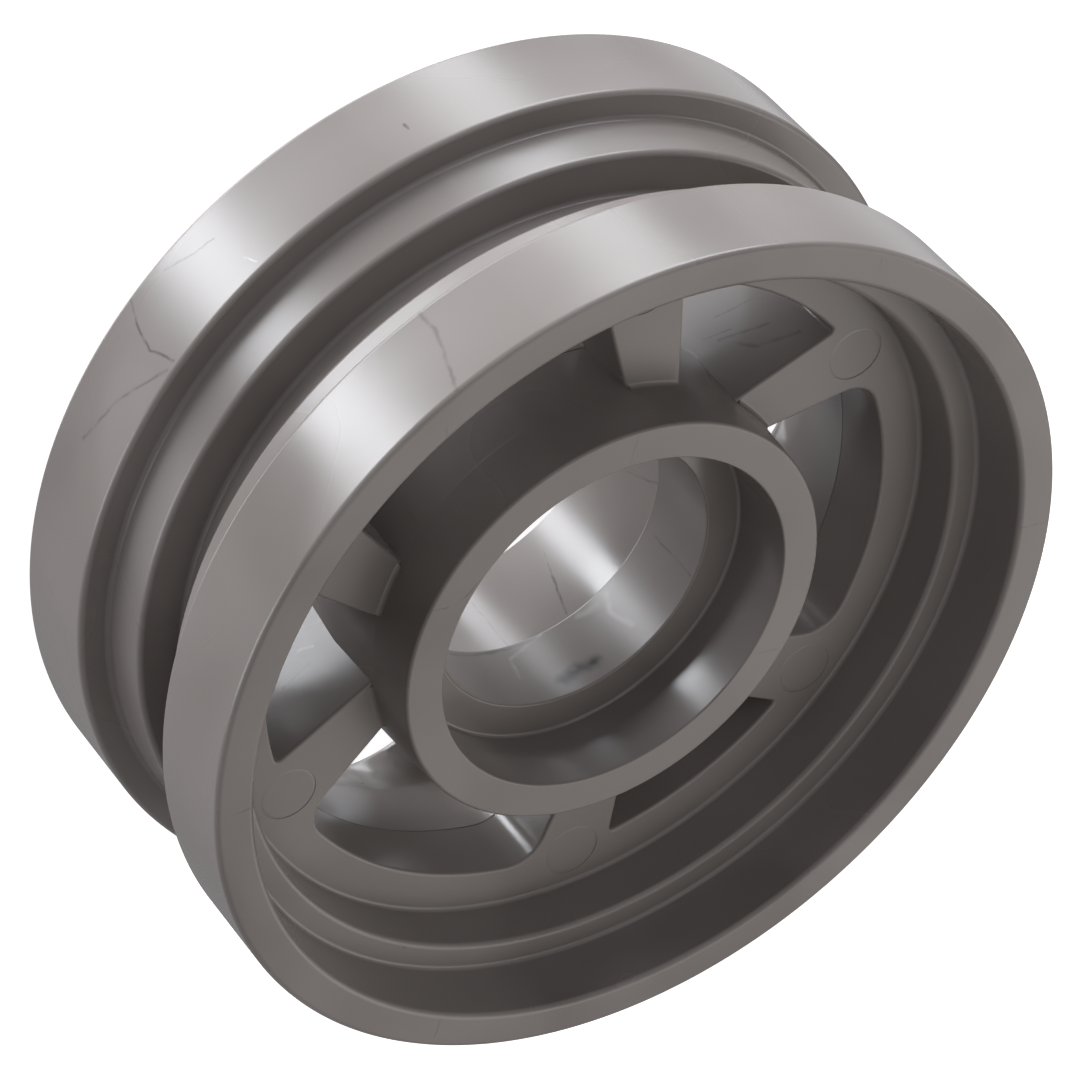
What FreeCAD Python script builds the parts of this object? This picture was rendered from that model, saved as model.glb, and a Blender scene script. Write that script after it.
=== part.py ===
import FreeCAD, Part
import math
import os
import Sketcher

# Moulded wheel of a pool cleaner: one piece of plastic.
# The wheel axis is Z. The back rim face lies on Z = 0 and the recessed side of the hub faces up.
# All lengths are in millimetres and all angles in degrees.

doc = FreeCAD.newDocument("pool_cleaner_wheel")

# Driving dimensions
DIMENSIONS = [
    ("rim_radius", 39.0, "outside of both flanges"),
    ("rim_width", 32.1, "back rim face to front rim face"),
    ("flange_width", 9.15, "each flange, along the axis"),
    ("flange_step", 2.55, "flange above the land beside it"),
    ("shoulder_fall", 0.5, "drop of that land towards the belt groove"),
    ("groove_width", 5.2, "deep groove at mid width"),
    ("groove_depth", 3.75, "deep groove below the lands"),
    ("rim_wall", 3.35, "wall under the flanges"),
    ("shoulder_wall", 3.3, "wall under the shoulder lands"),
    ("groove_wall", 3.25, "wall under the groove floor"),
    ("ledge_depth", 5.8, "front rim face to the inner ledge"),
    ("rim_draft", 3.4, "draft of the flange bores"),
    ("well_draft", 2.5, "draft of the wall below the ledge"),
    ("web_depth", 10.35, "front rim face to the front face of the spokes"),
    ("back_web_depth", 4.8, "back rim face to the back face of the spokes"),
    ("hub_wall", 3.3, "hub around the bearing seats, at its front face"),
    ("hub_recess", 5.25, "front rim face to the hub's front face"),
    ("hub_draft", 3.9, "draft of the hub"),
    ("seat_radius", 16.0, "bearing seats, front and back"),
    ("seat_depth", 6.7, "front bearing seat"),
    ("seat_step", 3.15, "inner rib inside the bearing seats"),
    ("bore_draft", 0.8, "draft of that opening"),
    ("rib_width", 7.7, "inner rib between the two seats"),
    ("window_sets", 3, "number of wide windows, and of narrow ones"),
    ("wide_axis", 90, "direction of the first wide window"),
    ("wide_half_angle", 11.5, "spoke sides of the wide window"),
    ("wide_side_offset", 7.68, "distance of those sides from the axis"),
    ("narrow_half_angle", 35.0, "spoke sides of the narrow window"),
    ("narrow_side_offset", 8.43, "distance of those sides from the axis"),
    ("window_draft", 2.0, "draft of the windows, front to mid width"),
    ("back_window_draft", 8.0, "draft of the windows, mid width to back"),
    ("window_corner_radius", 3.0, "outer corners of the wide windows"),
    ("floor_thickness", 3.9, "back floor of the wide windows"),
    ("lobe_centre", 20.8, "centre of the round opening in that floor"),
    ("lobe_radius", 10.05, "radius of that opening"),
    ("pin_radius", 2.5, "ejector marks on the spokes"),
    ("pin_setout", 0.1, "centres of the ejector marks outside the windows"),
    ("pin_spread", 25.5, "ejector marks, each side of a narrow window"),
    ("pin_depth", 0.15, "depth of the ejector marks"),
    ("edge_round", 0.5, "outer edges of the rim"),
    ("fine_round", 0.3, "edges of the hub and of the windows"),
    ("foot_round", 0.4, "inner corners"),
]

sheet = doc.addObject("Spreadsheet::Sheet", "dims")
for row, (alias, number, note) in enumerate(DIMENSIONS, start=1):
    sheet.set(f"A{row}", note)
    sheet.set(f"B{row}", str(number))
    sheet.setAlias(f"B{row}", alias)
doc.recompute()


def value(expression):
    """Number that an expression on the sheet gives now."""
    return float(sheet.evalExpression(expression))


# Places that several features share, as expressions on the sheet
FRONT = "dims.rim_width"
MIDDLE = "dims.rim_width / 2"
GROOVE_BACK = f"({MIDDLE} - dims.groove_width / 2)"
GROOVE_FRONT = f"({MIDDLE} + dims.groove_width / 2)"
FLANGE_FRONT = "(dims.rim_width - dims.flange_width)"
SHOULDER_RADIUS = "(dims.rim_radius - dims.flange_step)"
LIP_RADIUS = f"({SHOULDER_RADIUS} - dims.shoulder_fall)"
GROOVE_FLOOR_RADIUS = f"({LIP_RADIUS} - dims.groove_depth)"
MOUTH_RADIUS = "(dims.rim_radius - dims.rim_wall)"
LEDGE = "(dims.rim_width - dims.ledge_depth)"
LEDGE_RADIUS = f"({MOUTH_RADIUS} - dims.ledge_depth * tan(dims.rim_draft))"
WELL_RADIUS = f"({SHOULDER_RADIUS} - dims.shoulder_fall / 2 - dims.shoulder_wall)"
WEB = "(dims.rim_width - dims.web_depth)"
WELL_FOOT_RADIUS = f"({WELL_RADIUS} - ({LEDGE} - {WEB}) * tan(dims.well_draft))"
HUB_FACE = "(dims.rim_width - dims.hub_recess)"
HUB_RADIUS = "(dims.seat_radius + dims.hub_wall)"
HUB_FOOT_RADIUS = f"({HUB_RADIUS} + ({HUB_FACE} - {WEB}) * tan(dims.hub_draft))"
BACK_WEB = "dims.back_web_depth"
BACK_FOOT_RADIUS = f"({MOUTH_RADIUS} - {BACK_WEB} * tan(dims.rim_draft))"
HUB_BACK_RADIUS = f"({HUB_FOOT_RADIUS} - {BACK_WEB} * tan(dims.hub_draft))"
SEAT_FLOOR = f"({HUB_FACE} - dims.seat_depth)"
RIB_BACK = f"({SEAT_FLOOR} - dims.rib_width)"
BORE_RADIUS = "(dims.seat_radius - dims.seat_step)"
BORE_BACK_RADIUS = f"({BORE_RADIUS} - dims.rib_width * tan(dims.bore_draft))"
CORE_RADIUS = f"({BORE_BACK_RADIUS} / 2)"
WINDOW_RADIUS = f"({GROOVE_FLOOR_RADIUS} - dims.groove_wall)"
PIN_RADIUS = f"({WINDOW_RADIUS} + dims.pin_setout)"
FLOOR_TOP = f"({BACK_WEB} + dims.floor_thickness)"
PARTING_SHRINK = f"(({WEB} - {MIDDLE}) * tan(dims.window_draft))"
NARROW_AXIS = "(dims.wide_axis + 180 / dims.window_sets)"


body = doc.addObject("PartDesign::Body", "wheel")
body.Label = "wheel"


def origin_plane(role):
    """Plane of the body's own origin."""
    return next(item for item in body.Origin.OriginFeatures if item.Role == role)


def new_sketch(name, role, lift=None, turn=None):
    """Sketch on an origin plane, lifted along its normal and turned about it."""
    sketch = body.newObject("Sketcher::SketchObject", name)
    sketch.AttachmentSupport = [(origin_plane(role), "")]
    sketch.MapMode = "FlatFace"
    if lift:
        sketch.setExpression(".AttachmentOffset.Base.z", lift)
    if turn:
        sketch.AttachmentOffset.Rotation = FreeCAD.Rotation(FreeCAD.Vector(0, 0, 1), 1)
        sketch.setExpression(".AttachmentOffset.Rotation.Axis.z", "1")
        sketch.setExpression(".AttachmentOffset.Rotation.Angle", f"{turn} * 1 deg")
    return sketch


def measure(sketch, kind, *place, size):
    """Constraint whose size follows an expression on the sheet."""
    number = value(size)
    if kind == "Angle":
        number = math.radians(number)
    index = sketch.addConstraint(Sketcher.Constraint(kind, *place, number))
    sketch.setExpression(f"Constraints[{index}]", size)


def draw_section(sketch, corners):
    """Closed outline of straight lines, each corner placed by two expressions."""
    spots = [FreeCAD.Vector(value(across), value(along), 0) for across, along in corners]
    count = len(spots)
    for index, spot in enumerate(spots):
        sketch.addGeometry(Part.LineSegment(spot, spots[(index + 1) % count]), False)
    for index, (across, along) in enumerate(corners):
        previous = (index - 1) % count
        sketch.addConstraint(Sketcher.Constraint("Coincident", previous, 2, index, 1))
        measure(sketch, "DistanceX", -1, 1, index, 1, size=across)
        measure(sketch, "DistanceY", -1, 1, index, 1, size=along)


def draw_window(sketch, offset, side, half_angle, shrink):
    """Window between two spokes: two straight sides, an arc at the rim and an arc at the hub.

    The sides run at half_angle to the window's own axis, at a distance of offset from the
    wheel's axis. side is 1 where that axis lies between them and -1 where it lies outside.
    All four walls stand closer together by shrink than they do at the front of the spokes.
    """
    offset = f"({offset} - {side} * {shrink})"
    rim_radius = f"({WINDOW_RADIUS} - {shrink})"
    hub_radius = f"({HUB_FOOT_RADIUS} + {shrink})"
    angle = math.radians(value(half_angle))
    shift = side * value(offset)

    def corner(radius, mirror):
        """Place where a side meets a circle about the wheel's axis."""
        along = math.sqrt(radius**2 - shift**2)
        across_x = along * math.cos(angle) - shift * math.sin(angle)
        across_y = along * math.sin(angle) + shift * math.cos(angle)
        return FreeCAD.Vector(across_x, mirror * across_y, 0)

    outer = value(rim_radius)
    inner = value(hub_radius)
    centre = FreeCAD.Vector(0, 0, 0)
    normal = FreeCAD.Vector(0, 0, 1)
    outer_turn = math.atan2(corner(outer, 1).y, corner(outer, 1).x)
    inner_turn = math.atan2(corner(inner, 1).y, corner(inner, 1).x)
    rim_arc = Part.ArcOfCircle(Part.Circle(centre, normal, outer), -outer_turn, outer_turn)
    hub_arc = Part.ArcOfCircle(Part.Circle(centre, normal, inner), -inner_turn, inner_turn)
    sketch.addGeometry(rim_arc, False)
    sketch.addGeometry(Part.LineSegment(corner(inner, 1), corner(outer, 1)), False)
    sketch.addGeometry(hub_arc, False)
    sketch.addGeometry(Part.LineSegment(corner(inner, -1), corner(outer, -1)), False)
    sketch.addConstraint(Sketcher.Constraint("Coincident", 0, 2, 1, 2))
    sketch.addConstraint(Sketcher.Constraint("Coincident", 1, 1, 2, 2))
    sketch.addConstraint(Sketcher.Constraint("Coincident", 2, 1, 3, 1))
    sketch.addConstraint(Sketcher.Constraint("Coincident", 3, 2, 0, 1))
    sketch.addConstraint(Sketcher.Constraint("Coincident", 0, 3, -1, 1))
    sketch.addConstraint(Sketcher.Constraint("Coincident", 2, 3, -1, 1))
    measure(sketch, "Radius", 0, size=rim_radius)
    measure(sketch, "Radius", 2, size=hub_radius)
    for line, sign in ((1, ""), (3, "-")):
        measure(sketch, "Distance", -1, 1, line, size=offset)
        measure(sketch, "Angle", line, size=f"{sign}{half_angle}")


def draw_lobe(sketch):
    """Round opening in a window's floor, cut off by the hub."""
    centre = value("dims.lobe_centre")
    radius = value("dims.lobe_radius")
    hub = value(HUB_FOOT_RADIUS)
    origin = FreeCAD.Vector(0, 0, 0)
    middle = FreeCAD.Vector(centre, 0, 0)
    normal = FreeCAD.Vector(0, 0, 1)
    across = (centre**2 + hub**2 - radius**2) / (2 * centre)
    rise = math.sqrt(hub**2 - across**2)
    hub_turn = math.atan2(rise, across)
    lobe_turn = math.atan2(rise, across - centre)
    outer_arc = Part.ArcOfCircle(Part.Circle(middle, normal, radius), -lobe_turn, lobe_turn)
    hub_arc = Part.ArcOfCircle(Part.Circle(origin, normal, hub), -hub_turn, hub_turn)
    sketch.addGeometry(outer_arc, False)
    sketch.addGeometry(hub_arc, False)
    sketch.addConstraint(Sketcher.Constraint("Coincident", 0, 1, 1, 1))
    sketch.addConstraint(Sketcher.Constraint("Coincident", 0, 2, 1, 2))
    sketch.addConstraint(Sketcher.Constraint("Coincident", 1, 3, -1, 1))
    sketch.addConstraint(Sketcher.Constraint("PointOnObject", 0, 3, -1))
    measure(sketch, "DistanceX", -1, 1, 0, 3, size="dims.lobe_centre")
    measure(sketch, "Radius", 0, size="dims.lobe_radius")
    measure(sketch, "Radius", 1, size=HUB_FOOT_RADIUS)


def draw_pins(sketch):
    """Two round marks, one on each spoke beside a narrow window."""
    for index, sign in enumerate(("", "-")):
        across = f"{PIN_RADIUS} * cos(dims.pin_spread)"
        beside = f"{sign}{PIN_RADIUS} * sin(dims.pin_spread)"
        spot = FreeCAD.Vector(value(across), value(beside), 0)
        circle = Part.Circle(spot, FreeCAD.Vector(0, 0, 1), value("dims.pin_radius"))
        sketch.addGeometry(circle, False)
        measure(sketch, "DistanceX", -1, 1, index, 3, size=across)
        measure(sketch, "DistanceY", -1, 1, index, 3, size=beside)
        measure(sketch, "Radius", index, size="dims.pin_radius")


def add_pattern(name, feature):
    """Copies of a cut, evenly spaced about the wheel's axis."""
    pattern = body.newObject("PartDesign::PolarPattern", name)
    pattern.Originals = [feature]
    pattern.Axis = (next(item for item in body.Origin.OriginFeatures if item.Role == "Z_Axis"), [""])
    pattern.Angle = 360
    pattern.setExpression("Occurrences", "dims.window_sets")
    body.Tip = pattern
    doc.recompute()
    return pattern


def add_pocket(name, sketch, depth):
    """Cut from a sketch down into the solid."""
    before = body.Shape.Volume
    pocket = body.newObject("PartDesign::Pocket", name)
    pocket.Profile = sketch
    pocket.Type = "Length"
    pocket.setExpression("Length", depth)
    sketch.Visibility = False
    doc.recompute()
    if body.Shape.Volume >= before:
        raise RuntimeError(f"{name} cuts nothing")
    return pocket


def add_window(name, window, turn, ends):
    """Tapered cut between two outlines of a window, one at each end of it."""
    before = body.Shape.Volume
    outlines = []
    for label, (lift, shrink) in zip(("upper", "lower"), ends):
        sketch = new_sketch(f"{name}_{label}", "XY_Plane", lift, turn)
        draw_window(sketch, *window, shrink)
        sketch.Visibility = False
        outlines.append(sketch)
    loft = body.newObject("PartDesign::SubtractiveLoft", name)
    loft.Profile = outlines[0]
    loft.Sections = outlines[1:]
    loft.Ruled = True
    doc.recompute()
    if body.Shape.Volume >= before:
        raise RuntimeError(f"{name} cuts nothing")
    return loft


def round_edges(name, radius, wanted):
    """Fillet on the edges that a test picks from the solid as it stands."""
    base = body.Tip
    edges = [f"Edge{number}" for number, edge in enumerate(base.Shape.Edges, 1) if wanted(edge)]
    if not edges:
        raise RuntimeError(f"{name} finds no edge")
    fillet = body.newObject("PartDesign::Fillet", name)
    fillet.Base = (base, edges)
    fillet.setExpression("Radius", radius)
    body.Tip = fillet
    doc.recompute()
    return fillet


def full_circle(places):
    """Test for full circles about the wheel's axis at the given radii and heights."""
    spots = [(value(radius), value(height)) for radius, height in places]

    def wanted(edge):
        if not isinstance(edge.Curve, Part.Circle) or len(edge.Vertexes) != 1:
            return False
        radius = edge.Curve.Radius
        height = edge.Curve.Center.z
        return any(abs(radius - r) + abs(height - z) < 1e-4 for r, z in spots)

    return wanted


# Rim, web and hub: one section turned about the axis
form_sketch = new_sketch("moulded_section", "XZ_Plane")
draw_section(
    form_sketch,
    [
        (CORE_RADIUS, "0"),
        (HUB_BACK_RADIUS, "0"),
        (HUB_FOOT_RADIUS, BACK_WEB),
        (BACK_FOOT_RADIUS, BACK_WEB),
        (MOUTH_RADIUS, "0"),
        ("dims.rim_radius", "0"),
        ("dims.rim_radius", "dims.flange_width"),
        (SHOULDER_RADIUS, "dims.flange_width"),
        (LIP_RADIUS, GROOVE_BACK),
        (GROOVE_FLOOR_RADIUS, GROOVE_BACK),
        (GROOVE_FLOOR_RADIUS, GROOVE_FRONT),
        (LIP_RADIUS, GROOVE_FRONT),
        (SHOULDER_RADIUS, FLANGE_FRONT),
        ("dims.rim_radius", FLANGE_FRONT),
        ("dims.rim_radius", FRONT),
        (MOUTH_RADIUS, FRONT),
        (LEDGE_RADIUS, LEDGE),
        (WELL_RADIUS, LEDGE),
        (WELL_FOOT_RADIUS, WEB),
        (HUB_FOOT_RADIUS, WEB),
        (HUB_RADIUS, HUB_FACE),
        (CORE_RADIUS, HUB_FACE),
    ],
)
form = body.newObject("PartDesign::Revolution", "moulded_form")
form.Profile = form_sketch
form.ReferenceAxis = (form_sketch, ["V_Axis"])
form.Angle = 360
form_sketch.Visibility = False
doc.recompute()

# Bearing seats at both ends of the hub, with a rib between them
seat_sketch = new_sketch("seat_section", "XZ_Plane")
draw_section(
    seat_sketch,
    [
        (CORE_RADIUS, "0"),
        ("dims.seat_radius", "0"),
        ("dims.seat_radius", RIB_BACK),
        (BORE_BACK_RADIUS, RIB_BACK),
        (BORE_RADIUS, SEAT_FLOOR),
        ("dims.seat_radius", SEAT_FLOOR),
        ("dims.seat_radius", HUB_FACE),
        (CORE_RADIUS, HUB_FACE),
    ],
)
seats = body.newObject("PartDesign::Groove", "bearing_seats")
seats.Profile = seat_sketch
seats.ReferenceAxis = (seat_sketch, ["V_Axis"])
seats.Angle = 360
seat_sketch.Visibility = False
doc.recompute()

# Rounded rims and inner corners
round_edges(
    "rim_edges",
    "dims.edge_round",
    full_circle(
        [
            ("dims.rim_radius", "0"),
            ("dims.rim_radius", "dims.flange_width"),
            ("dims.rim_radius", FLANGE_FRONT),
            ("dims.rim_radius", FRONT),
            (MOUTH_RADIUS, "0"),
            (MOUTH_RADIUS, FRONT),
            (WELL_RADIUS, LEDGE),
        ]
    ),
)
round_edges(
    "groove_lips",
    "dims.edge_round",
    full_circle([(LIP_RADIUS, GROOVE_BACK), (LIP_RADIUS, GROOVE_FRONT)]),
)
round_edges(
    "hub_edges",
    "dims.fine_round",
    full_circle(
        [
            (HUB_RADIUS, HUB_FACE),
            (HUB_BACK_RADIUS, "0"),
            ("dims.seat_radius", "0"),
            ("dims.seat_radius", HUB_FACE),
            (BORE_RADIUS, SEAT_FLOOR),
            (BORE_BACK_RADIUS, RIB_BACK),
        ]
    ),
)
round_edges(
    "inner_corners",
    "dims.foot_round",
    full_circle(
        [
            (LEDGE_RADIUS, LEDGE),
            (WELL_FOOT_RADIUS, WEB),
            (HUB_FOOT_RADIUS, WEB),
            (HUB_FOOT_RADIUS, BACK_WEB),
            (BACK_FOOT_RADIUS, BACK_WEB),
            (SHOULDER_RADIUS, "dims.flange_width"),
            (SHOULDER_RADIUS, FLANGE_FRONT),
            (GROOVE_FLOOR_RADIUS, GROOVE_BACK),
            (GROOVE_FLOOR_RADIUS, GROOVE_FRONT),
        ]
    ),
)

# Windows: each narrows from the front to mid width, and opens again towards the back
WIDE = ("dims.wide_side_offset", 1, "dims.wide_half_angle")
NARROW = ("dims.narrow_side_offset", -1, "dims.narrow_half_angle")
AT_FRONT = (f"({WEB} + dims.foot_round)", "(-dims.foot_round * tan(dims.window_draft))")
AT_MIDDLE = (MIDDLE, PARTING_SHRINK)
AT_FLOOR = (FLOOR_TOP, f"({PARTING_SHRINK} - ({MIDDLE} - {FLOOR_TOP}) * tan(dims.back_window_draft))")
AT_BACK = (BACK_WEB, f"({PARTING_SHRINK} - ({MIDDLE} - {BACK_WEB}) * tan(dims.back_window_draft))")
for name, window, turn, ends in (
    ("wide_front", WIDE, "dims.wide_axis", (AT_FRONT, AT_MIDDLE)),
    ("wide_back", WIDE, "dims.wide_axis", (AT_MIDDLE, AT_FLOOR)),
    ("narrow_front", NARROW, NARROW_AXIS, (AT_FRONT, AT_MIDDLE)),
    ("narrow_back", NARROW, NARROW_AXIS, (AT_MIDDLE, AT_BACK)),
):
    add_pattern(f"{name}_cuts", add_window(f"{name}_cut", window, turn, ends))

# The wide windows end at a floor, which has a round opening beside the hub
lobe_sketch = new_sketch("floor_opening", "XY_Plane", FLOOR_TOP, "dims.wide_axis")
draw_lobe(lobe_sketch)
add_pattern("floor_cuts", add_pocket("floor_cut", lobe_sketch, FLOOR_TOP))


def wide_corner(edge):
    """Test for the edges that run down the outer corners of the wide windows."""
    if len(edge.Vertexes) != 2:
        return False
    upper, lower = sorted(edge.Vertexes, key=lambda corner: -corner.Z)
    if upper.Z - lower.Z < 1:
        return False
    if not value(BACK_WEB) < lower.Z < upper.Z < value(WEB) + 1e-6:
        return False
    least = value(f"{WINDOW_RADIUS} - {PARTING_SHRINK}") - 1e-3
    if min(math.hypot(corner.X, corner.Y) for corner in (upper, lower)) < least:
        return False
    turn = math.degrees(math.atan2(upper.Y, upper.X)) - value("dims.wide_axis")
    period = 360 / value("dims.window_sets")
    return abs((turn + period / 2) % period - period / 2) < value("dims.wide_half_angle") * 3


round_edges("window_corners", "dims.window_corner_radius", wide_corner)

# Ejector marks: shallow round dents at the outer ends of the spokes
pin_sketch = new_sketch("ejector_marks", "XY_Plane", WEB, NARROW_AXIS)
draw_pins(pin_sketch)
pins = add_pocket("ejector_dents", pin_sketch, "dims.pin_depth")
add_pattern("ejector_dents_round", pins)

for item in doc.Objects:
    if {"Invalid", "Error"} & set(item.State):
        raise RuntimeError(f"{item.Name} is {item.State}")
shape = body.Shape
if shape.isNull() or not shape.isValid() or len(shape.Solids) != 1:
    raise RuntimeError("the wheel is not one valid solid")
os.makedirs("parts", exist_ok=True)
shape.exportStep(f"parts/{body.Label}.step")
print(f"{body.Label}: {shape.Volume / 1000:.2f} cm3, {len(shape.Faces)} faces")
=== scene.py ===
"""Looks of a moulded pool cleaner wheel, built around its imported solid.

Lengths in the dataclasses are millimetres. Meshes are in metres, in the frame of the solid:
the wheel's axis is Z, its back rim face lies on Z = 0 and its front faces up.
"""
import logging
import math
from dataclasses import dataclass, field
from enum import Enum

import bmesh
import bpy
from mathutils import Matrix, Vector


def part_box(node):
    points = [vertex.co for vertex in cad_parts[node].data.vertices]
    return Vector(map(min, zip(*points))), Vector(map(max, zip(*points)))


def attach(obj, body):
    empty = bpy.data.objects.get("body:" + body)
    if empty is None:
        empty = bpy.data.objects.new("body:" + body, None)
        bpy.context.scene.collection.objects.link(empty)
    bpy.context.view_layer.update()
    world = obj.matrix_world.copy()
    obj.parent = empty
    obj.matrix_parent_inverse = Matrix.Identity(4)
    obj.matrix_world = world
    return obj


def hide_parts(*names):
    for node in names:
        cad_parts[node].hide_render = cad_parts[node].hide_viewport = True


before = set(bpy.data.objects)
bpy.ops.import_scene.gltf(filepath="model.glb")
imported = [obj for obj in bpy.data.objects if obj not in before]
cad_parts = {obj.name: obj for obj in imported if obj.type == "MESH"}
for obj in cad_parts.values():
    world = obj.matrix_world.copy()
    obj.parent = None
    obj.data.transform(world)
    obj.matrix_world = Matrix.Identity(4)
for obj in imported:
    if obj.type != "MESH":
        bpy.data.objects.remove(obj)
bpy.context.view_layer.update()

LOG = logging.getLogger("pool_cleaner_wheel")
MM = 0.001
# Millimetres within which an edge counts as lying on a ring.
SLACK = 0.02
# Lamp colours: daylight, and a little warmer.
COOL = "#F5F8FD"
WARM = "#FFFBF5"


class Window(Enum):
    """The two kinds of window between the spokes."""

    WIDE = "wide"
    NARROW = "narrow"


def linear(code: str) -> tuple[float, float, float, float]:
    """Turn an sRGB hex colour to linear.

    Args:
        code: Six hex digits, with or without a leading hash.

    Returns:
        Linear red, green and blue, and an alpha of 1.
    """
    digits = code.lstrip("#")
    channels = [int(digits[place:place + 2], 16) / 255 for place in (0, 2, 4)]
    curve = [c / 12.92 if c <= 0.04045 else ((c + 0.055) / 1.055) ** 2.4 for c in channels]
    return (curve[0], curve[1], curve[2], 1.0)


def polar(radius: float, turn: float) -> Vector:
    """Point in plan at a radius and an angle in radians."""
    return Vector((radius * math.cos(turn), radius * math.sin(turn)))


def add_node(tree: bpy.types.NodeTree, kind: str, settings: dict | None = None,
             inputs: dict | None = None) -> bpy.types.Node:
    """Add a shader node.

    Args:
        tree: Node tree that takes the node.
        kind: Blender's name of the node type.
        settings: Attributes of the node.
        inputs: Values or output sockets, by input name or number.

    Returns:
        The new node, linked to every socket given.
    """
    node = tree.nodes.new(kind)
    for key, setting in (settings or {}).items():
        setattr(node, key, setting)
    for key, source in (inputs or {}).items():
        if isinstance(source, bpy.types.NodeSocket):
            tree.links.new(source, node.inputs[key])
        else:
            node.inputs[key].default_value = source
    return node


def mesh_object(name: str, bm: bmesh.types.BMesh) -> bpy.types.Object:
    """Turn a bmesh into an object of the scene.

    Args:
        name: Name of the object and its mesh.
        bm: Mesh in metres, freed afterwards.

    Returns:
        The object, at the origin.
    """
    mesh = bpy.data.meshes.new(name)
    bm.to_mesh(mesh)
    bm.free()
    piece = bpy.data.objects.new(name, mesh)
    bpy.context.scene.collection.objects.link(piece)
    return piece


@dataclass(frozen=True)
class Ring:
    """A corner of the turned section: its radius, height and rounding, in millimetres."""

    radius: float
    height: float
    rounding: float = 0.0


def lies_on(line: bmesh.types.BMEdge, ring: Ring) -> bool:
    """Tell whether an edge runs round the axis along a ring.

    Args:
        line: Edge of the turned form, in metres.
        ring: Corner of its section.

    Returns:
        True where both ends lie on the ring.
    """
    return all(abs(end.co.xy.length / MM - ring.radius) < SLACK and abs(end.co.z / MM - ring.height) < SLACK
               for end in line.verts)


@dataclass(frozen=True)
class WindowShape:
    """Plan of one kind of window, in millimetres and degrees.

    The straight sides run at half_angle to the window's own axis, side_offset away from the
    wheel's axis. The offset is negative where the wheel's axis lies outside the two sides. The
    steps say into how many runs each stretch is divided.
    """

    side_offset: float
    half_angle: float
    corner: float
    first_turn: float
    least_corner: float = 0.05
    hub_steps: int = 12
    bend_steps: int = 6
    rim_steps: int = 16

    def outline(self, rim: float, hub: float, shrink: float) -> list[Vector]:
        """Closed plan outline.

        Args:
            rim: Radius of the outer wall before shrinking.
            hub: Radius of the inner wall.
            shrink: How far the sides and the outer wall move inwards.

        Returns:
            Points in order, about the window's own axis, which is +X.
        """
        angle = math.radians(self.half_angle)
        along = polar(1.0, angle)
        outward = Vector((-along.y, along.x))
        offset = self.side_offset - shrink
        outer = rim - shrink
        corner = max(self.corner - shrink, self.least_corner)

        def on_side(radius: float, inset: float) -> Vector:
            """Point at a radius, inset from the straight side."""
            shift = offset - inset
            return outward * shift + along * math.sqrt(radius ** 2 - shift ** 2)

        centre = on_side(outer - corner, corner)
        hub_point = on_side(hub, 0.0)
        hub_turn = math.atan2(hub_point.y, hub_point.x)
        half = [polar(hub, hub_turn * step / self.hub_steps) for step in range(self.hub_steps)]
        side_end = centre + outward * corner
        bends = self.bend_steps
        half += [hub_point.lerp(side_end, step / bends) for step in range(bends + 1)]
        start = math.atan2(outward.y, outward.x)
        stop = math.atan2(centre.y, centre.x)
        half += [centre + corner * polar(1.0, start + (stop - start) * step / bends)
                 for step in range(1, bends + 1)]
        half += [polar(outer, stop * step / self.rim_steps) for step in reversed(range(self.rim_steps))]
        mirrored = [Vector((point.x, -point.y)) for point in half[-2:0:-1]]
        return half + mirrored


@dataclass(frozen=True)
class Mark:
    """A fine line on the surface through a few points, in millimetres.

    Shade runs from -1, nearly black, to 1, nearly white.
    """

    points: tuple[tuple[float, float, float], ...]
    width: float
    shade: float


class Region(Enum):
    """Where on the wheel a finish lies."""

    TURNED = "turned"
    FACE = "face"
    BORE = "bore"
    RIB = "rib"
    WINDOW = "window"


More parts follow.
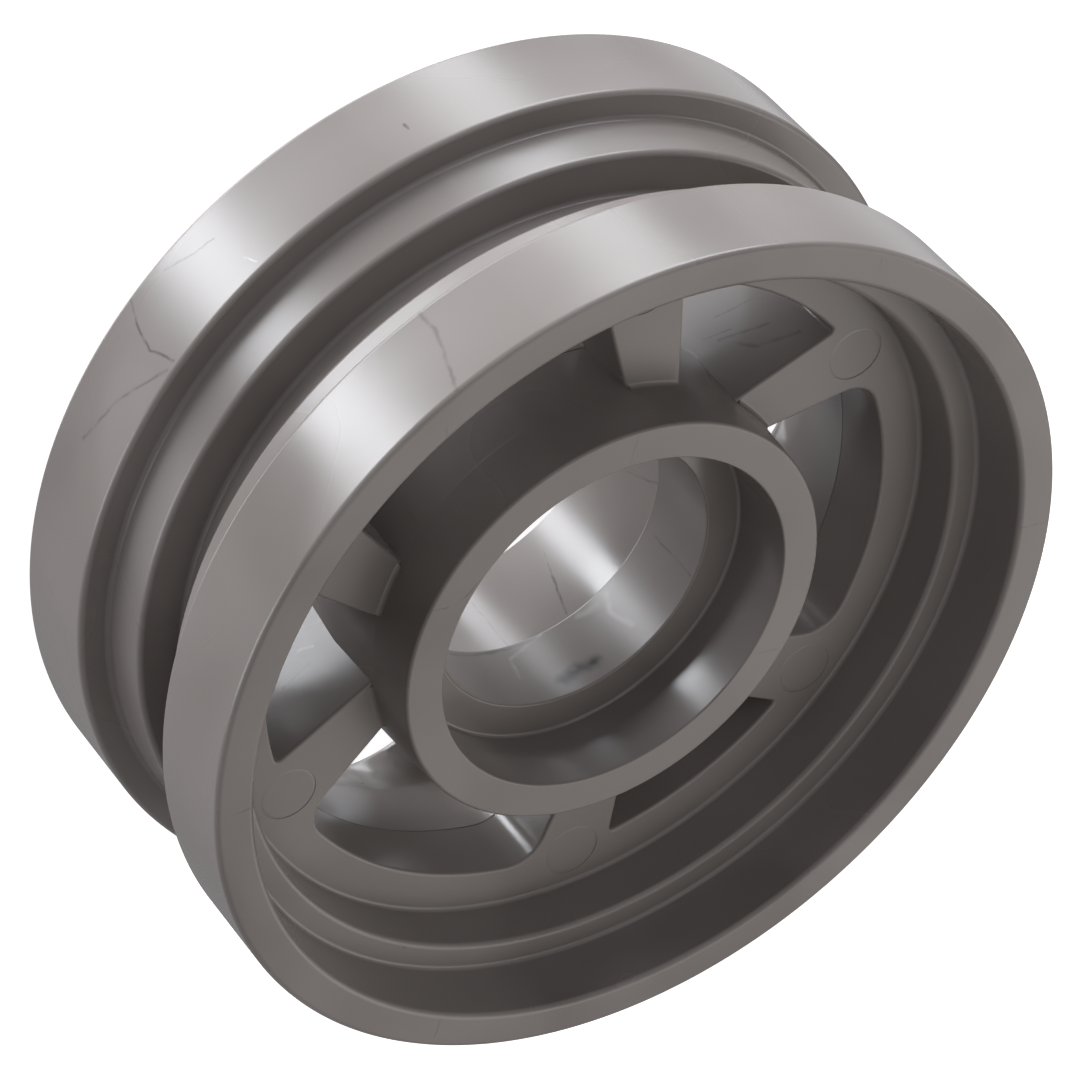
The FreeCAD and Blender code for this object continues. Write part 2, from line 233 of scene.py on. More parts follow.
MARKS = {
    Region.TURNED: (
        Mark(((38.2, -8.1, 1.4), (37.5, -10.7, 2.6), (36.9, -12.5, 3.1)), 0.18, -0.65),
        Mark(((38.7, -4.6, 0.5), (38.8, -3.6, 2.7), (38.9, -3.1, 5.5), (38.8, -4.0, 8.4)), 0.2, -0.65),
        Mark(((38.4, 6.5, 3.7), (39.0, 1.7, 5.4), (38.9, -3.2, 8.4)), 0.24, -0.4),
        Mark(((36.6, -13.3, 6.9), (36.5, -13.7, 8.2)), 0.12, 0.5),
        Mark(((28.1, -27.1, 5.4), (28.1, -27.0, 6.0)), 0.2, -1.0),
        Mark(((33.7, -19.6, 23.4), (33.7, -19.5, 26.0), (34.2, -18.8, 28.9), (34.6, -18.0, 31.8)), 0.3, -0.4),
    ),
    Region.FACE: (
        Mark(((35.1, -17.0, 31.8), (33.2, -14.2, 32.1)), 0.16, -0.3),
        Mark(((2.9, -38.3, 32.1), (2.1, -35.7, 31.9)), 0.12, -0.3),
        Mark(((-29.9, -19.8, 32.0), (-33.0, -21.3, 32.1)), 0.14, -0.4),
        Mark(((-2.1, 36.0, 32.1), (-3.0, 38.8, 32.0)), 0.12, -0.4),
        Mark(((32.8, 22.3, 31.7), (30.0, 19.9, 32.1)), 0.12, -0.35),
        Mark(((-0.1, 33.4, 26.3), (0.3, 35.3, 26.9)), 0.14, -0.5),
        Mark(((9.9, -16.5, 26.8), (8.6, -13.5, 26.9)), 0.12, -0.3),
        Mark(((18.9, 2.7, 26.9), (16.9, 1.5, 26.9), (16.1, -1.1, 26.8)), 0.14, -0.5),
        Mark(((-16.0, -0.3, 26.8), (-18.6, -1.3, 26.8)), 0.12, -0.35),
    ),
    Region.BORE: (
        Mark(((-15.6, -3.6, 4.9), (-15.2, -5.0, 9.0)), 0.16, -0.4),
        Mark(((-14.6, 6.6, 2.4), (-13.5, 8.5, 9.5)), 0.18, -0.6),
        Mark(((-9.7, 12.7, 2.8), (-9.6, 12.8, 9.5)), 0.16, -0.35),
    ),
    Region.RIB: (
        Mark(((-12.5, -2.6, 14.2), (-12.6, -2.5, 19.7)), 0.16, -0.35),
        Mark(((0.3, 12.8, 13.4), (-4.2, 12.1, 13.0), (-7.9, 10.0, 12.9)), 0.3, -0.5),
        Mark(((-8.6, 9.4, 12.7), (-5.5, 11.5, 14.2), (-5.0, 11.8, 16.7)), 0.3, 0.2),
        Mark(((-12.1, 4.0, 13.4), (-11.9, 4.7, 15.0), (-12.2, 4.2, 17.6)), 0.5, 0.14),
        Mark(((-10.9, 6.6, 13.2), (-11.6, 5.3, 13.6)), 0.6, 0.14),
        Mark(((-7.8, 10.2, 18.4), (-9.1, 9.0, 17.9), (-10.0, 8.0, 18.2)), 1.1, -0.95),
    ),
    Region.WINDOW: (
        Mark(((-6.7, 28.4, 5.8), (-6.1, 28.9, 6.7), (-5.1, 29.4, 7.8)), 0.16, -0.6),
        Mark(((-7.9, 27.7, 6.6), (-6.8, 28.7, 7.6)), 0.16, -0.6),
        # Broad pale band along a wide window's funnel: painted light, standing in for light bounced into the
        # window.
        Mark(((-9.8, 25.4, 6.3), (-7.2, 28.0, 6.3), (-2.0, 29.9, 6.3)), 2.4, 0.3),
        Mark(((-5.6, -22.3, 13.0), (-7.6, -25.3, 13.7)), 0.2, -0.4),
        Mark(((-3.7, -19.9, 14.0), (-5.4, -22.6, 15.3)), 0.14, -0.4),
        Mark(((16.3, 15.1, 14.1), (15.5, 12.8, 15.6)), 0.3, 0.4),
        Mark(((17.7, 17.6, 16.2), (16.6, 15.1, 16.2)), 0.25, -0.45),
        Mark(((-4.6, -21.5, 15.6), (-6.8, -24.7, 17.1)), 0.3, -0.32),
        Mark(((-4.4, -20.4, 14.5), (-5.7, -23.1, 18.4), (-7.7, -25.8, 19.7)), 0.3, -0.3),
    ),
}


@dataclass(frozen=True)
class MouldedPlastic:
    """Grey engineering plastic, injection moulded in a polished tool.

    The eye gets a satin sheen over a warm mid grey, with faint swirls and fine lines where
    the melt flowed together, and a broad pale band in the wide windows' funnels that is
    painted light, standing in for light bounced into them. Each region has its own polish
    and its own lines.

    Swirl and peel are how broad the drift of the grey and the slight orange peel of the skin
    are, stray is how far the lines wander and relief_depth how deep the skin's relief is, all
    in millimetres. Each low and high bound the part of a noise, from 0 to 1, that is used.
    """

    region: Region
    roughness: float
    base: str = "#7B7571"
    pale: str = "#827C78"
    deep: str = "#736D69"
    soot: str = "#1E1A19"
    # Colour of the pale scuffs and flow lines, and of the painted light band in the wide windows.
    chalk_and_painted_light: str = "#D8D4D2"
    ior: float = 1.53
    swirl: float = 18.0
    swirl_low: float = 0.3
    swirl_high: float = 0.7
    smoother: float = 0.03
    duller: float = 0.05
    peel: float = 1.6
    peel_share: float = 0.025
    relief: float = 0.25
    relief_depth: float = 0.6
    stray: float = 0.35
    stray_rate: float = 0.9
    grain_low: float = 0.36
    grain_high: float = 0.54
    faintest: float = 0.45

    def stroke_group(self) -> bpy.types.NodeTree:
        """Build the group that draws one straight stroke as a mask.

        Returns:
            Group with a place, both ends and a width in millimetres, and a shade.
        """
        group = bpy.data.node_groups.new("stroke", "ShaderNodeTree")
        for name, kind in (("Place", "NodeSocketVector"), ("Start", "NodeSocketVector"),
                           ("End", "NodeSocketVector"), ("Width", "NodeSocketFloat"),
                           ("Shade", "NodeSocketFloat")):
            group.interface.new_socket(name, in_out="INPUT", socket_type=kind)
        group.interface.new_socket("Mask", in_out="OUTPUT", socket_type="NodeSocketFloat")
        given = add_node(group, "NodeGroupInput").outputs
        subtract, dot = {"operation": "SUBTRACT"}, {"operation": "DOT_PRODUCT"}
        reach = add_node(group, "ShaderNodeVectorMath", subtract, {0: given["Place"], 1: given["Start"]})
        run = add_node(group, "ShaderNodeVectorMath", subtract, {0: given["End"], 1: given["Start"]})
        along = add_node(group, "ShaderNodeVectorMath", dot, {0: reach.outputs[0], 1: run.outputs[0]})
        whole = add_node(group, "ShaderNodeVectorMath", dot, {0: run.outputs[0], 1: run.outputs[0]})
        share = add_node(group, "ShaderNodeMath", {"operation": "DIVIDE", "use_clamp": True},
                         {0: along.outputs["Value"], 1: whole.outputs["Value"]})
        foot = add_node(group, "ShaderNodeVectorMath", {"operation": "SCALE"},
                        {0: run.outputs[0], "Scale": share.outputs[0]})
        away = add_node(group, "ShaderNodeVectorMath", {"operation": "DISTANCE"},
                        {0: reach.outputs[0], 1: foot.outputs[0]})
        mask = add_node(group, "ShaderNodeMapRange", {"interpolation_type": "SMOOTHSTEP"},
                        {"Value": away.outputs["Value"], "From Min": given["Width"], "From Max": 0.0,
                         "To Min": 0.0, "To Max": given["Shade"]})
        add_node(group, "NodeGroupOutput", inputs={"Mask": mask.outputs["Result"]})
        return group

    def marks(self, tree: bpy.types.NodeTree, place: bpy.types.NodeSocket,
              dark: bool) -> bpy.types.NodeSocket | float:
        """Draw all dark or all pale lines.

        Args:
            tree: Node tree of the material.
            place: Position in millimetres.
            dark: True for the dark lines, False for the pale ones.

        Returns:
            Mask of the lines, as strong as each line's shade, or 0 where there is none.
        """
        group = bpy.data.node_groups.get("stroke") or self.stroke_group()
        total = 0.0
        for line in MARKS[self.region]:
            if (line.shade < 0) is not dark:
                continue
            for start, end in zip(line.points, line.points[1:]):
                stroke = add_node(tree, "ShaderNodeGroup", {"node_tree": group}, {
                    "Place": place, "Start": start, "End": end, "Width": line.width,
                    "Shade": abs(line.shade)})
                total = add_node(tree, "ShaderNodeMath", {"operation": "MAXIMUM"},
                                 {0: total, 1: stroke.outputs["Mask"]}).outputs[0]
        return total

    def tint(self, tree: bpy.types.NodeTree, share: bpy.types.NodeSocket, first: object,
             second: object) -> bpy.types.NodeSocket:
        """Blend two colours.

        Args:
            tree: Node tree of the material.
            share: 0 gives the first, 1 the second.
            first: Colour or socket.
            second: Colour or socket.

        Returns:
            The blend.
        """
        node = add_node(tree, "ShaderNodeMix", {"data_type": "RGBA"}, {0: share, 6: first, 7: second})
        return node.outputs[2]

    def melt(self, tree: bpy.types.NodeTree, swirl: bpy.types.NodeSocket) -> bpy.types.NodeSocket:
        """Vary the grey softly along the flow of the melt.

        Args:
            tree: Node tree of the material.
            swirl: Noise that follows the flow.

        Returns:
            Colour of the clean plastic.
        """
        ramp = add_node(tree, "ShaderNodeValToRGB", inputs={"Fac": swirl})
        ramp.color_ramp.interpolation = "EASE"
        low, high = ramp.color_ramp.elements
        low.position, low.color = self.swirl_low, linear(self.deep)
        high.position, high.color = self.swirl_high, linear(self.pale)
        ramp.color_ramp.elements.new(0.5).color = linear(self.base)
        return ramp.outputs["Color"]

    def line_place(self, tree: bpy.types.NodeTree, place: bpy.types.NodeSocket) -> bpy.types.NodeSocket:
        """Let the lines stray a little from their straight runs.

        Args:
            tree: Node tree of the material.
            place: Position in millimetres.

        Returns:
            Position at which the lines are drawn.
        """
        wander = add_node(tree, "ShaderNodeTexNoise", inputs={
            "Vector": place, "Scale": self.stray_rate, "Detail": 1.0}).outputs["Color"]
        centred = add_node(tree, "ShaderNodeVectorMath", {"operation": "SUBTRACT"},
                           {0: wander, 1: (0.5, 0.5, 0.5)}).outputs[0]
        return add_node(tree, "ShaderNodeVectorMath", {"operation": "MULTIPLY_ADD"},
                        {0: centred, 1: (self.stray, self.stray, self.stray), 2: place}).outputs[0]

    def lined(self, tree: bpy.types.NodeTree, place: bpy.types.NodeSocket, peel: bpy.types.NodeSocket,
              clean: bpy.types.NodeSocket) -> bpy.types.NodeSocket:
        """Lay the dark and the pale lines over the plastic, fainter where the skin dips.

        Args:
            tree: Node tree of the material.
            place: Position in millimetres.
            peel: Noise of the skin.
            clean: Colour of the clean plastic.

        Returns:
            Colour of the plastic with its lines.
        """
        drawn = self.line_place(tree, place)
        grain = add_node(tree, "ShaderNodeMapRange", {"interpolation_type": "SMOOTHSTEP"}, {
            "Value": peel, "From Min": self.grain_low, "From Max": self.grain_high,
            "To Min": self.faintest}).outputs["Result"]
        dark, pale = (add_node(tree, "ShaderNodeMath", {"operation": "MULTIPLY"},
                               {0: self.marks(tree, drawn, shaded), 1: grain}).outputs[0]
                      for shaded in (True, False))
        darkened = self.tint(tree, dark, clean, linear(self.soot))
        # Pale lines go towards the pale mark colour; the broad band in the wide windows is painted light.
        return self.tint(tree, pale, darkened, linear(self.chalk_and_painted_light))

    def material(self) -> bpy.types.Material:
        """Build the material.

        Returns:
            The node material.
        """
        material = bpy.data.materials.new(f"moulded grey plastic, {self.region.value}")
        material.use_nodes = True
        tree = material.node_tree
        tree.nodes.clear()
        source = add_node(tree, "ShaderNodeTexCoord").outputs["Object"]
        place = add_node(tree, "ShaderNodeVectorMath", {"operation": "SCALE"},
                         {0: source, "Scale": 1 / MM}).outputs[0]
        swirl = add_node(tree, "ShaderNodeTexNoise", inputs={
            "Vector": place, "Scale": 1 / self.swirl, "Detail": 1.0, "Roughness": 0.4,
            "Distortion": 0.4}).outputs["Fac"]
        peel = add_node(tree, "ShaderNodeTexNoise", inputs={
            "Vector": place, "Scale": 1 / self.peel, "Detail": 1.0}).outputs["Fac"]
        colour = self.lined(tree, place, peel, self.melt(tree, swirl))
        rough = add_node(tree, "ShaderNodeMapRange", {"interpolation_type": "SMOOTHSTEP"}, {
            "Value": swirl, "From Min": self.swirl_low, "From Max": self.swirl_high,
            "To Min": self.roughness - self.smoother,
            "To Max": self.roughness + self.duller}).outputs["Result"]
        skin = add_node(tree, "ShaderNodeMath", {"operation": "MULTIPLY_ADD"},
                        {0: peel, 1: self.peel_share, 2: swirl}).outputs[0]
        bump = add_node(tree, "ShaderNodeBump", inputs={
            "Height": skin, "Strength": self.relief,
            "Distance": self.relief_depth * MM}).outputs["Normal"]
        shader = add_node(tree, "ShaderNodeBsdfPrincipled", inputs={
            "Base Color": colour, "Roughness": rough, "IOR": self.ior, "Normal": bump})
        add_node(tree, "ShaderNodeOutputMaterial", inputs={"Surface": shader.outputs["BSDF"]})
        return material


# Windows and bores are the glossiest, from polished cores, and the flat faces the dullest.
FINISHES = (
    MouldedPlastic(Region.TURNED, roughness=0.27),
    MouldedPlastic(Region.FACE, roughness=0.42),
    MouldedPlastic(Region.BORE, roughness=0.22),
    MouldedPlastic(Region.RIB, roughness=0.36),
    MouldedPlastic(Region.WINDOW, roughness=0.2),
)


@dataclass
class WheelMoulding:
    """The wheel: a turned rim, web and hub, with windows cut between six wedge spokes.

    Drafts, turns and the spread of the ejector pins are in degrees. The cutters go hub_bite
    into the hub and overcut past the flat faces, and seam_turn keeps the spin's lines off the
    windows' own axes, so that no cut runs along a surface or an edge.
    """

    radius: float
    width: float
    flange_width: float = 9.15
    flange_step: float = 2.55
    shoulder_fall: float = 0.5
    groove_width: float = 5.2
    groove_depth: float = 3.75
    rim_wall: float = 3.35
    shoulder_wall: float = 3.3
    groove_wall: float = 3.25
    ledge_depth: float = 5.8
    web_depth: float = 10.35
    back_web_depth: float = 4.8
    seat_radius: float = 16.0
    hub_wall: float = 3.3
    hub_recess: float = 5.25
    seat_depth: float = 6.7
    seat_step: float = 3.15
    rib_width: float = 7.7
    rim_draft: float = 3.4
    well_draft: float = 2.5
    hub_draft: float = 3.9
    bore_draft: float = 0.8
    window_draft: float = 2.0
    back_window_draft: float = 8.0
    floor_thickness: float = 3.9
    lobe_centre: float = 20.8
    lobe_radius: float = 10.4
    pin_radius: float = 2.5
    pin_setout: float = 0.1
    pin_spread: float = 25.5
    pin_depth: float = 0.05
    edge_round: float = 0.5
    fine_round: float = 0.3
    foot_round: float = 0.4
    crisp_round: float = 0.16
    hub_bite: float = 0.03
    parting_line: float = 0.06
    overcut: float = 0.1
    funnel_lead: float = 0.3
    funnel_land: float = 0.2
    funnel_curve: float = 1.4
    window_sets: int = 3
    turn_steps: int = 360
    round_segments: int = 4
    edge_steps: int = 4
    funnel_steps: int = 8
    pin_steps: int = 60
    sharp_angle: float = 30.0
    seam_turn: float = 0.23
    windows: dict[Window, WindowShape] = field(default_factory=lambda: {
        Window.WIDE: WindowShape(side_offset=7.68, half_angle=11.5, corner=3.0, first_turn=90.0),
        Window.NARROW: WindowShape(side_offset=-8.43, half_angle=35.0, corner=0.35, first_turn=150.0),
    })

    @property
    def middle(self) -> float:
        """Height of the parting plane at mid width."""
        return self.width / 2

    @property
    def web(self) -> float:
        """Height of the spokes' front face."""
        return self.width - self.web_depth

    @property
    def hub_face(self) -> float:
        """Height of the hub's front face."""
        return self.width - self.hub_recess

    @property
    def hub_radius(self) -> float:
        """Outside of the hub at its front face."""
        return self.seat_radius + self.hub_wall

    @property
    def hub_foot(self) -> float:
        """Outside of the hub at the spokes."""
        return self.hub_radius + (self.hub_face - self.web) * math.tan(math.radians(self.hub_draft))

    @property
    def lip_radius(self) -> float:
        """Edge of the deep groove."""
        return self.radius - self.flange_step - self.shoulder_fall

    @property
    def groove_floor(self) -> float:
        """Floor of the deep groove."""
        return self.lip_radius - self.groove_depth

    @property
    def window_radius(self) -> float:
        """Outer wall of the windows at the spokes' front face."""
        return self.groove_floor - self.groove_wall

    @property
    def floor_top(self) -> float:
        """Height of the floor in the wide windows."""
        return self.back_web_depth + self.floor_thickness

    def section(self) -> list[Ring]:
        """Corners of the turned section, from the bore's back end round to its front.

        Returns:
            The rings in order.
        """
        rim_fall = math.tan(math.radians(self.rim_draft))
        well_fall = math.tan(math.radians(self.well_draft))
        hub_fall = math.tan(math.radians(self.hub_draft))
        mouth = self.radius - self.rim_wall
        shoulder = self.radius - self.flange_step
        well = shoulder - self.shoulder_fall / 2 - self.shoulder_wall
        ledge = self.width - self.ledge_depth
        groove_back = self.middle - self.groove_width / 2
        groove_front = self.middle + self.groove_width / 2
        seat_floor = self.hub_face - self.seat_depth
        rib_back = seat_floor - self.rib_width
        bore = self.seat_radius - self.seat_step
        bore_back = bore - self.rib_width * math.tan(math.radians(self.bore_draft))
        edge, fine, foot, crisp = self.edge_round, self.fine_round, self.foot_round, self.crisp_round
        return [
            Ring(bore_back, rib_back, fine),
            Ring(self.seat_radius, rib_back, foot),
            Ring(self.seat_radius - crisp, 0.0),
            Ring(self.hub_foot - self.back_web_depth * hub_fall, 0.0, fine),
            Ring(self.hub_foot, self.back_web_depth, foot),
            Ring(mouth - self.back_web_depth * rim_fall, self.back_web_depth, foot),
            Ring(mouth, 0.0, edge),
            Ring(self.radius, 0.0, edge),
            Ring(self.radius, self.flange_width, edge),
            Ring(shoulder, self.flange_width, foot),
            Ring(self.lip_radius, groove_back, edge),
            Ring(self.groove_floor, groove_back, foot),
            Ring(self.groove_floor, groove_front, foot),
            Ring(self.lip_radius, groove_front, edge),
            Ring(shoulder, self.width - self.flange_width, foot),
            Ring(self.radius, self.width - self.flange_width, edge),
            Ring(self.radius, self.width, edge),
            Ring(mouth, self.width, edge),
            Ring(mouth - self.ledge_depth * rim_fall, ledge, foot),
            Ring(well, ledge, edge),
            Ring(well - (ledge - self.web) * well_fall, self.web, foot),
            Ring(self.hub_foot, self.web, foot),
            Ring(self.hub_radius, self.hub_face, fine),
            Ring(self.seat_radius, self.hub_face, crisp),
            Ring(self.seat_radius, seat_floor, fine),
            Ring(bore, seat_floor, crisp),
        ]

    def turned_form(self) -> bpy.types.Object:
        """Spin the section about the axis and round its rings.

        Returns:
            The wheel before its windows are cut.
        """
        bm = bmesh.new()
        rings = self.section()
        corners = [bm.verts.new((ring.radius * MM, 0.0, ring.height * MM)) for ring in rings]
        edges = [bm.edges.new((corner, corners[(place + 1) % len(corners)]))
                 for place, corner in enumerate(corners)]
        bmesh.ops.spin(bm, geom=corners + edges, cent=(0, 0, 0), axis=(0, 0, 1), dvec=(0, 0, 0),
                       angle=2 * math.pi, steps=self.turn_steps, use_merge=True, use_duplicate=False)
        bmesh.ops.rotate(bm, verts=bm.verts[:], cent=(0, 0, 0),
                         matrix=Matrix.Rotation(math.radians(self.seam_turn), 3, "Z"))
        bmesh.ops.recalc_face_normals(bm, faces=bm.faces[:])
        for rounding in sorted({ring.rounding for ring in rings if ring.rounding}):
            wanted = [ring for ring in rings if ring.rounding == rounding]
            chosen = [line for line in bm.edges if any(lies_on(line, ring) for ring in wanted)]
            bmesh.ops.bevel(bm, geom=chosen, offset=rounding * MM, offset_type="OFFSET",
                            affect="EDGES", segments=self.round_segments, profile=0.5,
                            material=-1, clamp_overlap=True)
        return mesh_object("turned_form", bm)

    def cutter(self, name: str, outlines: list[tuple[float, list[Vector]]],
               turn: float) -> bpy.types.Object:
        """Closed solid through a stack of outlines.

        Args:
            name: Name of the object.
            outlines: Height and plan outline of each level, all with as many points.
            turn: Direction of the outlines' own axis, in degrees.

        Returns:
            The solid, turned into place.
        """
        bm = bmesh.new()
        loops = []
        for height, outline in outlines:
            ring = [bm.verts.new((point.x * MM, point.y * MM, height * MM)) for point in outline]
            loops.append([bm.edges.new((corner, ring[(place + 1) % len(ring)]))
                          for place, corner in enumerate(ring)])
        for below, above in zip(loops, loops[1:]):
            bmesh.ops.bridge_loops(bm, edges=below + above)
        for lid in (loops[0], loops[-1]):
            bmesh.ops.contextual_create(bm, geom=lid)
        bmesh.ops.recalc_face_normals(bm, faces=bm.faces[:])
        bmesh.ops.rotate(bm, verts=bm.verts[:], cent=(0, 0, 0),
                         matrix=Matrix.Rotation(math.radians(turn), 3, "Z"))
        return mesh_object(name, bm)

    def window_levels(self, kind: Window) -> list[tuple[float, list[Vector]]]:
        """Outlines of one window from above the spokes down.

        The front edge is rounded, the wall narrows to the parting plane at mid width and opens
        again towards the back. In the wide windows the parting plane shows as a fine line, and
        the wall turns into the round opening of the floor.

        Args:
            kind: Which of the two windows.

        Returns:
            Height and outline of each level.
        """
        shape = self.windows[kind]
        fall = math.tan(math.radians(self.window_draft))
        back_fall = math.tan(math.radians(self.back_window_draft))
        hub_fall = math.tan(math.radians(self.hub_draft))
        edge, line = self.fine_round, self.parting_line
        parting = (self.web - self.middle) * fall
        levels = []

        def level(height: float, shrink: float, hub: float) -> None:
            """Add one outline."""
            levels.append((height, shape.outline(self.window_radius, hub, shrink)))

        top = self.web + self.foot_round + self.overcut
        level(top, -edge, self.hub_foot - (top - self.web) * hub_fall - self.hub_bite)
        for step in range(self.edge_steps + 1):
            turn = math.radians(90 * step / self.edge_steps)
            drop = edge * (1 - math.cos(turn))
            level(self.web - drop, -edge * (1 - math.sin(turn)), self.hub_foot - self.hub_bite)
        back = self.back_web_depth - self.foot_round - self.overcut
        if kind is Window.NARROW:
            level(self.middle, parting, self.hub_foot + parting)
            sole = parting - (self.middle - self.back_web_depth) * back_fall
            level(self.back_web_depth, sole, self.hub_foot + sole)
            level(back, sole - edge, self.hub_foot - self.hub_bite)
            return levels
        level(self.middle + line, parting, self.hub_foot + parting)
        level(self.middle, parting - line, self.hub_foot + parting - line)
        level(self.middle - line, parting, self.hub_foot + parting)
        sole = parting - (self.middle - self.floor_top) * back_fall
        rim = shape.outline(self.window_radius, self.hub_foot + sole, sole)
        start = self.floor_top + self.funnel_lead
        levels.append((start, rim))
        for step in range(1, self.funnel_steps + 1):
            share = step / self.funnel_steps
            levels.append((start - share * (self.floor_thickness - self.funnel_land),
                           self.funnel(rim, share ** self.funnel_curve)))
        levels.append((self.back_web_depth + self.funnel_land, self.funnel(rim, 1.0)))
        levels.append((back, self.funnel(rim, 1.0, edge)))
        return levels

    def funnel(self, outline: list[Vector], share: float, flare: float = 0.0) -> list[Vector]:
        """Pull a wide window's outline in towards the round opening in its floor.

        Args:
            outline: Plan outline about the window's own axis.
            share: 0 leaves the outline, 1 reaches the opening.
            flare: How much wider than its own radius the opening is.

        Returns:
            As many points, none of them further into the hub than hub_bite.
        """
        centre = Vector((self.lobe_centre, 0.0))
        pulled = []
        for point in outline:
            goal = centre + (point - centre).normalized() * (self.lobe_radius + flare)
            if goal.length < self.hub_foot - self.hub_bite:
                goal = goal.normalized() * (self.hub_foot - self.hub_bite)
            pulled.append(point.lerp(goal, share))
        return pulled

    def ejector_cutters(self) -> list[bpy.types.Object]:
        """Shallow round dents with a fine rim, one at the outer end of each spoke.

        Returns:
            The cutters.
        """
        reach = self.window_radius + self.pin_setout
        depth = self.pin_depth
        # Height over the web and change of radius: a fine groove round a slightly raised disc.
        profile = ((0.3, 0.05), (-depth, 0.0), (-depth, -0.14), (-depth / 3, -0.24))
        levels = []
        for height, growth in profile:
            circle = [Vector((reach, 0.0)) + (self.pin_radius + growth)
                      * polar(1.0, math.radians(360 * place / self.pin_steps))
                      for place in range(self.pin_steps)]
            levels.append((self.web + height, circle))
        cutters = []
        for window in range(self.window_sets):
            for side in (-1, 1):
                turn = (self.windows[Window.NARROW].first_turn + 360 * window / self.window_sets
                        + side * self.pin_spread)
                cutters.append(self.cutter("ejector_cutter", levels, turn))
        return cutters

    def cut(self, piece: bpy.types.Object, cutters: list[bpy.types.Object]) -> None:
        """Cut solids out of a piece and take them out of the scene.

        Args:
            piece: Piece that is cut.
            cutters: Closed solids, which are deleted.
        """
        for cutter in cutters:
            modifier = piece.modifiers.new("cut", "BOOLEAN")
            modifier.operation = "DIFFERENCE"
            modifier.solver = "MANIFOLD"
            modifier.object = cutter
        graph = bpy.context.evaluated_depsgraph_get()
        mesh = bpy.data.meshes.new_from_object(piece.evaluated_get(graph))
        piece.modifiers.clear()
        piece.data = mesh
        for cutter in cutters:
            bpy.data.objects.remove(cutter)

    def region_of(self, face: bpy.types.MeshPolygon) -> Region:
        """Tell which finish a face has.

        Args:
            face: Face of the finished mesh.

        Returns:
            Its region.
        """
        radius, height = face.center.xy.length / MM, face.center.z / MM
        level_slope, front = 0.95, self.web - 1
        rib_reach, bore_reach = self.seat_radius - self.seat_step + 0.3, self.seat_radius + 0.1
        window_start, window_end, window_top = self.hub_foot + 0.6, self.window_radius + 2, self.web - 0.1
        if face.normal.z > level_slope and height > front:
            return Region.FACE
        if radius < rib_reach:
            return Region.RIB
        if radius < bore_reach:
            return Region.BORE
        if window_start < radius < window_end and height < window_top:
            return Region.WINDOW
        return Region.TURNED

    def build(self) -> bpy.types.Object:
        """Make the whole moulding.

        Returns:
            The finished piece.
        """
        piece = self.turned_form()
        piece.name = "wheel_moulding"
        cutters = []
        for window in range(self.window_sets):
            step = 360 * window / self.window_sets
            for kind in Window:
                turn = self.windows[kind].first_turn + step
                cutters.append(self.cutter(f"{kind.value}_cutter", self.window_levels(kind), turn))
        self.cut(piece, cutters + self.ejector_cutters())
        weld = 1e-6
        bm = bmesh.new()
        bm.from_mesh(piece.data)
        bmesh.ops.remove_doubles(bm, verts=bm.verts[:], dist=weld)
        bmesh.ops.dissolve_degenerate(bm, edges=bm.edges[:], dist=weld)
        bm.to_mesh(piece.data)
        bm.free()
        piece.data.name = "wheel_moulding"
        piece.data.materials.clear()
        for finish in FINISHES:
            piece.data.materials.append(finish.material())
        slots = {finish.region: place for place, finish in enumerate(FINISHES)}
        for face in piece.data.polygons:
            face.material_index = slots[self.region_of(face)]
        piece.data.shade_smooth()
        piece.data.set_sharp_from_angle(angle=math.radians(self.sharp_angle))
        weighted = piece.modifiers.new("face weighted normals", "WEIGHTED_NORMAL")
        weighted.keep_sharp = True
        weighted.weight = 80
        return piece


@dataclass(frozen=True)
class Lamp:
    """A soft oblong lamp that faces the wheel.

    Azimuth runs from +X and elevation up from the floor, in degrees, and a lamp with a negative
    elevation shines up through the floor. Distance, width and height are metres, and power is
    in watts.
    """

    name: str
    azimuth: float
    elevation: float
    distance: float
    size: tuple[float, float]
    power: float
    tint: str = COOL


LAMPS = (
    Lamp("left low", -10, -36, 1.0, (0.26, 0.52), 7.0),
    Lamp("right low", -84, -35, 1.0, (0.28, 0.55), 3.4),
    Lamp("far right", -116, -36, 1.0, (0.4, 0.4), 0.4),
    Lamp("rear low", -162, -40, 1.0, (0.35, 0.35), 0.24),
    Lamp("front low", -27, -60, 0.9, (0.45, 0.25), 2.3),
    Lamp("side", -84, -12, 0.8, (0.6, 0.4), 5.9),
    Lamp("left", 35, -12, 0.8, (0.4, 0.4), 2.0),
    Lamp("under", -50, -80, 0.8, (0.9, 0.9), 5.0),
    Lamp("back", 184, 42, 0.8, (0.6, 0.6), 1.9, WARM),
    Lamp("near", -62, 34, 1.0, (0.8, 0.5), 0.8),
    Lamp("top", 150, 80, 0.8, (0.8, 0.8), 1.5, WARM),
)


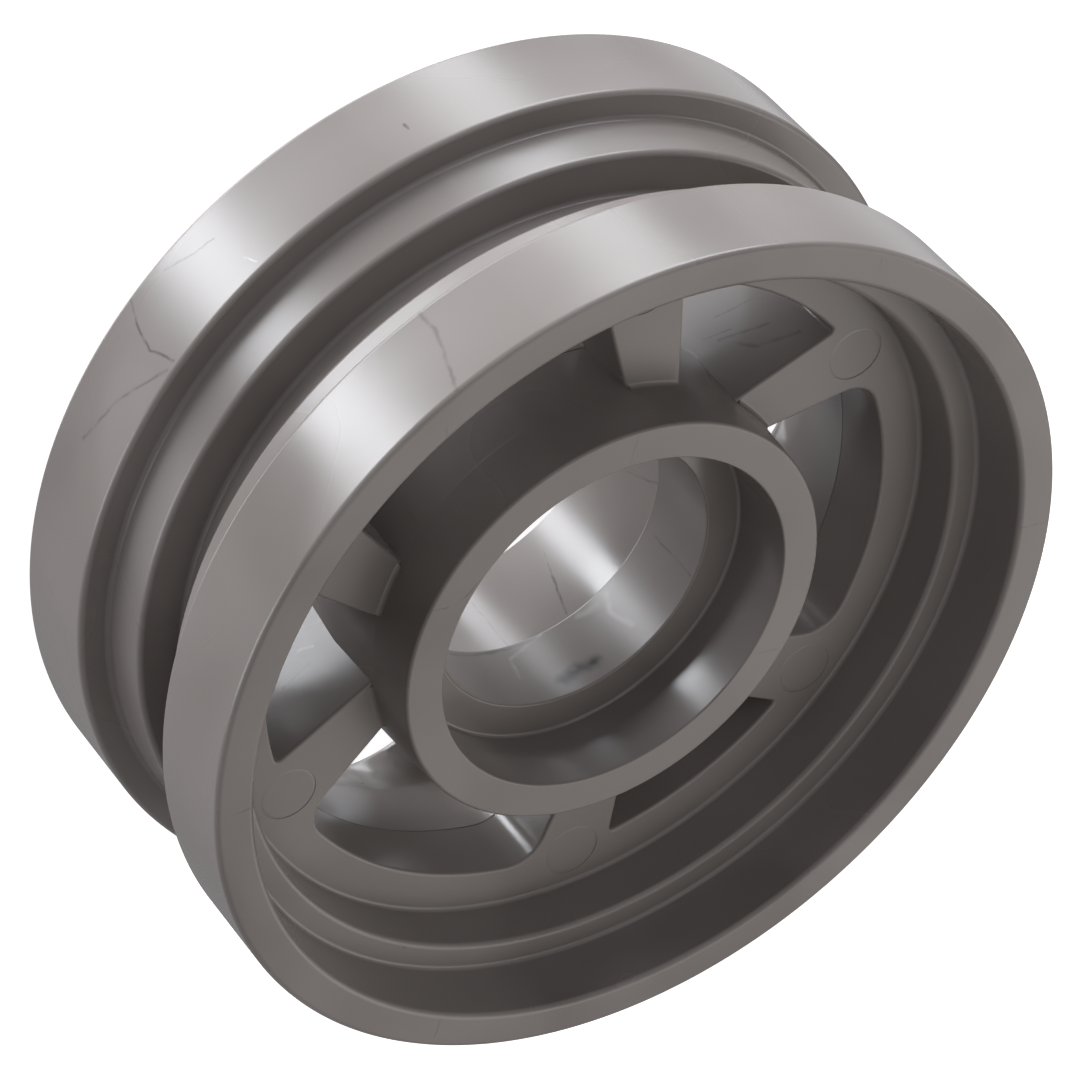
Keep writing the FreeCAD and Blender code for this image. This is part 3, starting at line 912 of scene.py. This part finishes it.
@dataclass
class Studio:
    """Floor, lamps, world and camera.

    The camera's place is in millimetres and its three turns are in degrees.
    """

    width: float
    camera_place: tuple[float, float, float] = (294.75, -125.87, 287.3)
    heading: float = 66.88
    tilt: float = 49.64
    roll: float = 137.74
    focal_mm: float = 172.0
    sensor_mm: float = 36.0
    floor_half: float = 3.0
    paper: str = "#E6E5E3"
    paper_glow: float = 0.86
    fill: str = "#F3F3F9"
    fill_strength: float = 0.3

    def camera(self) -> None:
        """Set the camera at the photograph's angle."""
        data = bpy.data.cameras.new("photo_camera")
        data.sensor_width = self.sensor_mm
        data.lens = self.focal_mm
        data.clip_start, data.clip_end = 0.01, 20.0
        eye = bpy.data.objects.new("photo_camera", data)
        turned = (Matrix.Rotation(math.radians(self.heading), 4, "Z")
                  @ Matrix.Rotation(math.radians(self.tilt), 4, "X")
                  @ Matrix.Rotation(math.radians(self.roll), 4, "Z"))
        eye.matrix_world = Matrix.Translation(Vector(self.camera_place) * MM) @ turned
        bpy.context.scene.collection.objects.link(eye)
        bpy.context.scene.camera = eye

    def light(self, lamp: Lamp) -> None:
        """Put a lamp in the scene.

        Args:
            lamp: The lamp.
        """
        data = bpy.data.lights.new(lamp.name, "AREA")
        data.color = linear(lamp.tint)[:3]
        data.shape = "RECTANGLE"
        data.size, data.size_y = lamp.size
        data.energy = lamp.power
        light = bpy.data.objects.new(lamp.name, data)
        flat, rise = math.radians(lamp.azimuth), math.radians(lamp.elevation)
        towards = Vector((math.cos(rise) * math.cos(flat), math.cos(rise) * math.sin(flat), math.sin(rise)))
        middle = Vector((0, 0, self.width / 2 * MM))
        light.matrix_world = (Matrix.Translation(middle + towards * lamp.distance)
                              @ towards.to_track_quat("Z", "Y").to_matrix().to_4x4())
        light.visible_camera = False
        bpy.context.scene.collection.objects.link(light)

    def floor(self) -> None:
        """Pale floor that shows white behind the wheel and lets the low lamps through."""
        bm = bmesh.new()
        bmesh.ops.create_grid(bm, x_segments=1, y_segments=1, size=self.floor_half)
        sheet = mesh_object("floor", bm)
        material = bpy.data.materials.new("white paper")
        material.use_nodes = True
        tree = material.node_tree
        tree.nodes.clear()
        path = add_node(tree, "ShaderNodeLightPath")
        diffuse = add_node(tree, "ShaderNodeBsdfDiffuse", inputs={"Color": linear(self.paper)})
        glow = add_node(tree, "ShaderNodeEmission", inputs={"Strength": self.paper_glow})
        unlit = add_node(tree, "ShaderNodeEmission", inputs={"Strength": 0.0})
        seen = add_node(tree, "ShaderNodeMixShader", inputs={
            0: path.outputs["Is Camera Ray"], 1: unlit.outputs[0], 2: glow.outputs[0]})
        both = add_node(tree, "ShaderNodeAddShader", inputs={0: diffuse.outputs[0], 1: seen.outputs[0]})
        add_node(tree, "ShaderNodeOutputMaterial", inputs={"Surface": both.outputs[0]})
        sheet.data.materials.append(material)
        sheet.visible_glossy = False
        sheet.visible_shadow = False

    def world(self) -> None:
        """Plain surroundings: a dim fill, white where the camera looks past the floor."""
        world = bpy.data.worlds.new("studio")
        bpy.context.scene.world = world
        world.use_nodes = True
        tree = world.node_tree
        tree.nodes.clear()
        path = add_node(tree, "ShaderNodeLightPath")
        fill = add_node(tree, "ShaderNodeBackground",
                        inputs={"Color": linear(self.fill), "Strength": self.fill_strength})
        white = add_node(tree, "ShaderNodeBackground", inputs={"Color": (1, 1, 1, 1), "Strength": 1.0})
        mixed = add_node(tree, "ShaderNodeMixShader", inputs={
            0: path.outputs["Is Camera Ray"], 1: fill.outputs[0], 2: white.outputs[0]})
        add_node(tree, "ShaderNodeOutputWorld", inputs={"Surface": mixed.outputs[0]})

    def build(self) -> None:
        """Set up everything around the wheel."""
        bpy.context.scene.view_settings.view_transform = "Standard"
        self.camera()
        self.floor()
        self.world()
        for lamp in LAMPS:
            self.light(lamp)


def main() -> None:
    """Build the wheel and its studio, and report each piece."""
    logging.basicConfig(level=logging.INFO, format="%(message)s")
    low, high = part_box("wheel")
    wheel = WheelMoulding(radius=high.x / MM, width=high.z / MM)
    piece = wheel.build()
    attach(piece, "root")
    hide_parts("wheel")
    LOG.info("%s: %d faces", piece.name, len(piece.data.polygons))
    Studio(width=wheel.width).build()


if __name__ == "__main__":
    main()
